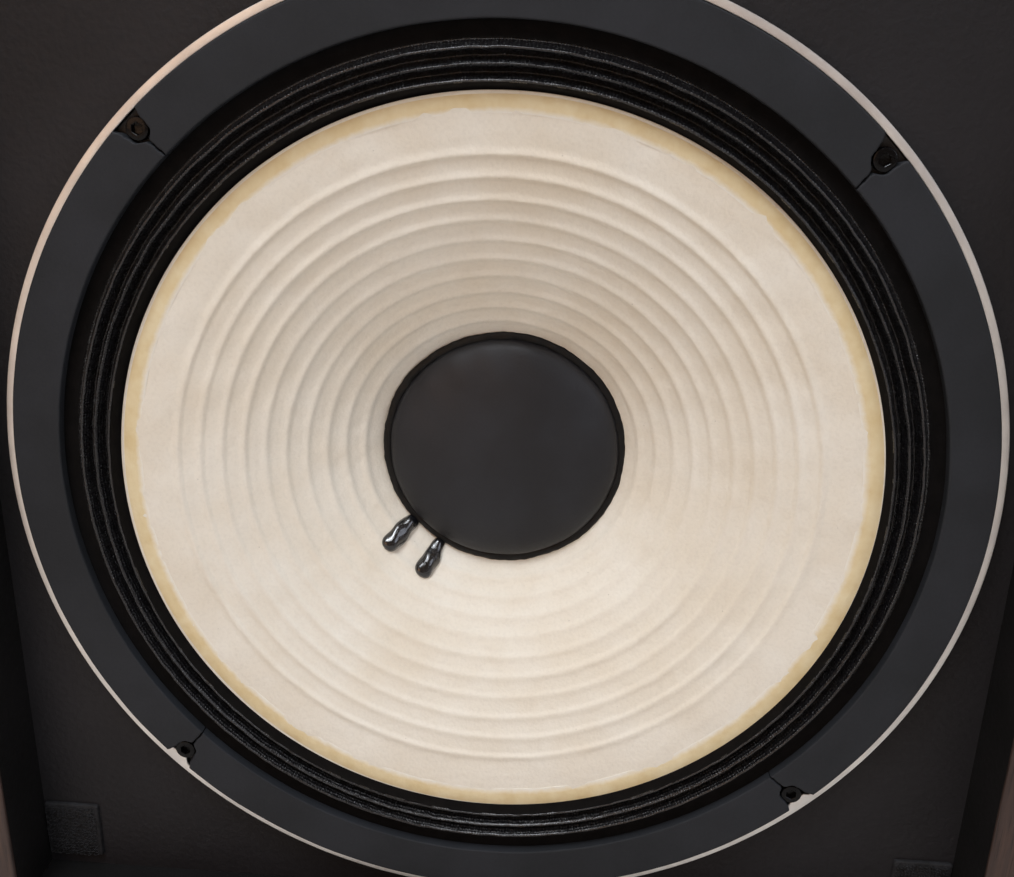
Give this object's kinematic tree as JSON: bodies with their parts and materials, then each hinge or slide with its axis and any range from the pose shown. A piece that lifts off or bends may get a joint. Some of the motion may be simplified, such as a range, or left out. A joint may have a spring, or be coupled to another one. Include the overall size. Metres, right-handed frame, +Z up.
{
  "type": "bookshelf speaker",
  "caption": "Box loudspeaker with a recessed black front board, a large woofer with a ribbed pale cone, a midrange, a tweeter, a port and level controls.",
  "frame": {"origin": "middle of the cabinet's base, on the surface it stands on", "axes": "+Z up, the front with the drivers faces -Y, +X to the listener's right"},
  "size_m": [0.362, 0.344, 0.6],
  "materials": {
    "walnut_veneer": "satin, oiled veneer",
    "baffle_paint": "matt black paint on particle board",
    "particle_board": "raw board",
    "wadding": "soft fibre",
    "hook_tape": "fuzzy",
    "cast_frame": "satin cast",
    "gasket_foam": "matt, slightly porous",
    "black_steel": "black oxide, oiled",
    "plated_steel": "yellow zinc",
    "ferrite": "ground, matt",
    "surround_cloth": "pleated cloth with a glossy coating",
    "spider_cloth": "resin-dipped weave",
    "cone_paper": "coated pulp, fine grain",
    "edge_glue": "dried clear adhesive",
    "cap_cloth": "matt doped cloth",
    "black_cement": "glossy",
    "former_foil": "thin foil",
    "copper": "enamelled wire",
    "painted_steel": "satin black",
    "black_plastic": "moulded, fine texture",
    "dome_cloth": "doped silk",
    "red_plastic": "moulded",
    "capacitor_sleeve": "shrunk film",
    "wire_insulation": "smooth"
  },
  "bodies": {
    "cabinet": {"side_panel_left": "walnut_veneer", "side_panel_right": "walnut_veneer", "top_panel": "walnut_veneer", "bottom_panel": "walnut_veneer", "front_baffle": "baffle_paint", "back_panel": "particle_board", "battens": "particle_board", "crossover_board": "particle_board", "damping_pads": "wadding", "grille_pads": "hook_tape", "woofer_frame": "cast_frame", "woofer_gasket": "gasket_foam", "woofer_seal": "gasket_foam", "midrange_gasket": "gasket_foam", "woofer_bolts": "black_steel", "wood_screws": "black_steel", "woofer_tee_nuts": "plated_steel", "woofer_top_plate": "plated_steel", "woofer_yoke": "plated_steel", "midrange_pole_pieces": "plated_steel", "tweeter_pole_pieces": "plated_steel", "terminal_spring_red": "plated_steel", "terminal_spring_black": "plated_steel", "woofer_magnet": "ferrite", "midrange_magnet": "ferrite", "tweeter_magnet": "ferrite", "woofer_surround": "surround_cloth", "midrange_surround": "surround_cloth", "woofer_spider": "spider_cloth", "midrange_spider": "spider_cloth", "woofer_tinsel_leads": "copper", "inductors": "copper", "woofer_terminals": "copper", "midrange_frame": "painted_steel", "midrange_back_can": "painted_steel", "control_plate": "painted_steel", "tweeter_plate": "black_plastic", "port_tube": "black_plastic", "level_pots": "black_plastic", "terminal_cup": "black_plastic", "tweeter_surround": "dome_cloth", "capacitors": "capacitor_sleeve", "internal_wiring": "wire_insulation"},
    "woofer_cone_body": {"woofer_cone": "cone_paper", "woofer_edge_glue": "edge_glue", "woofer_dust_cap": "cap_cloth", "woofer_lead_cement": "black_cement", "woofer_coil_former": "former_foil", "woofer_winding": "copper"},
    "midrange_cone_body": {"midrange_cone": "cone_paper", "midrange_dust_cap": "cap_cloth", "midrange_voice_coil": "copper"},
    "tweeter_dome_body": {"tweeter_dome": "dome_cloth", "tweeter_voice_coil": "copper"},
    "midrange_knob_body": {"midrange_level_shaft": "plated_steel", "midrange_level_knob": "black_plastic"},
    "tweeter_knob_body": {"tweeter_level_shaft": "plated_steel", "tweeter_level_knob": "black_plastic"},
    "red_button_body": {"terminal_button_red": "red_plastic"},
    "black_button_body": {"terminal_button_black": "black_plastic"}
  },
  "joints": [
    {"name": "woofer_stroke", "type": "slide", "parent": "cabinet", "child": "woofer_cone_body", "axis": [0, -1, 0], "range_m": [-0.006, 0.006], "stiffness_N_per_m": 1600, "deforming": ["woofer_surround", "woofer_spider", "woofer_tinsel_leads"]},
    {"name": "midrange_stroke", "type": "slide", "parent": "cabinet", "child": "midrange_cone_body", "axis": [0, -1, 0], "range_m": [-0.001, 0.001], "stiffness_N_per_m": 2500, "deforming": ["midrange_surround", "midrange_spider"]},
    {"name": "tweeter_stroke", "type": "slide", "parent": "cabinet", "child": "tweeter_dome_body", "axis": [0, -1, 0], "range_m": [-0.0003, 0.0003], "stiffness_N_per_m": 2000, "deforming": ["tweeter_surround"]},
    {"name": "midrange_level_turn", "type": "hinge", "parent": "cabinet", "child": "midrange_knob_body", "pos_m": [-0.117, -0.155, 0.362], "axis": [0, 1, 0], "range_deg": [-150, 150]},
    {"name": "tweeter_level_turn", "type": "hinge", "parent": "cabinet", "child": "tweeter_knob_body", "pos_m": [-0.053, -0.155, 0.362], "axis": [0, 1, 0], "range_deg": [-150, 150]},
    {"name": "red_button_press", "type": "slide", "parent": "cabinet", "child": "red_button_body", "axis": [0, -1, 0], "range_m": [0, 0.003], "stiffness_N_per_m": 800, "springref_m": -0.001, "deforming": ["terminal_spring_red"]},
    {"name": "black_button_press", "type": "slide", "parent": "cabinet", "child": "black_button_body", "axis": [0, -1, 0], "range_m": [0, 0.003], "stiffness_N_per_m": 800, "springref_m": -0.001, "deforming": ["terminal_spring_black"]}
  ]
}
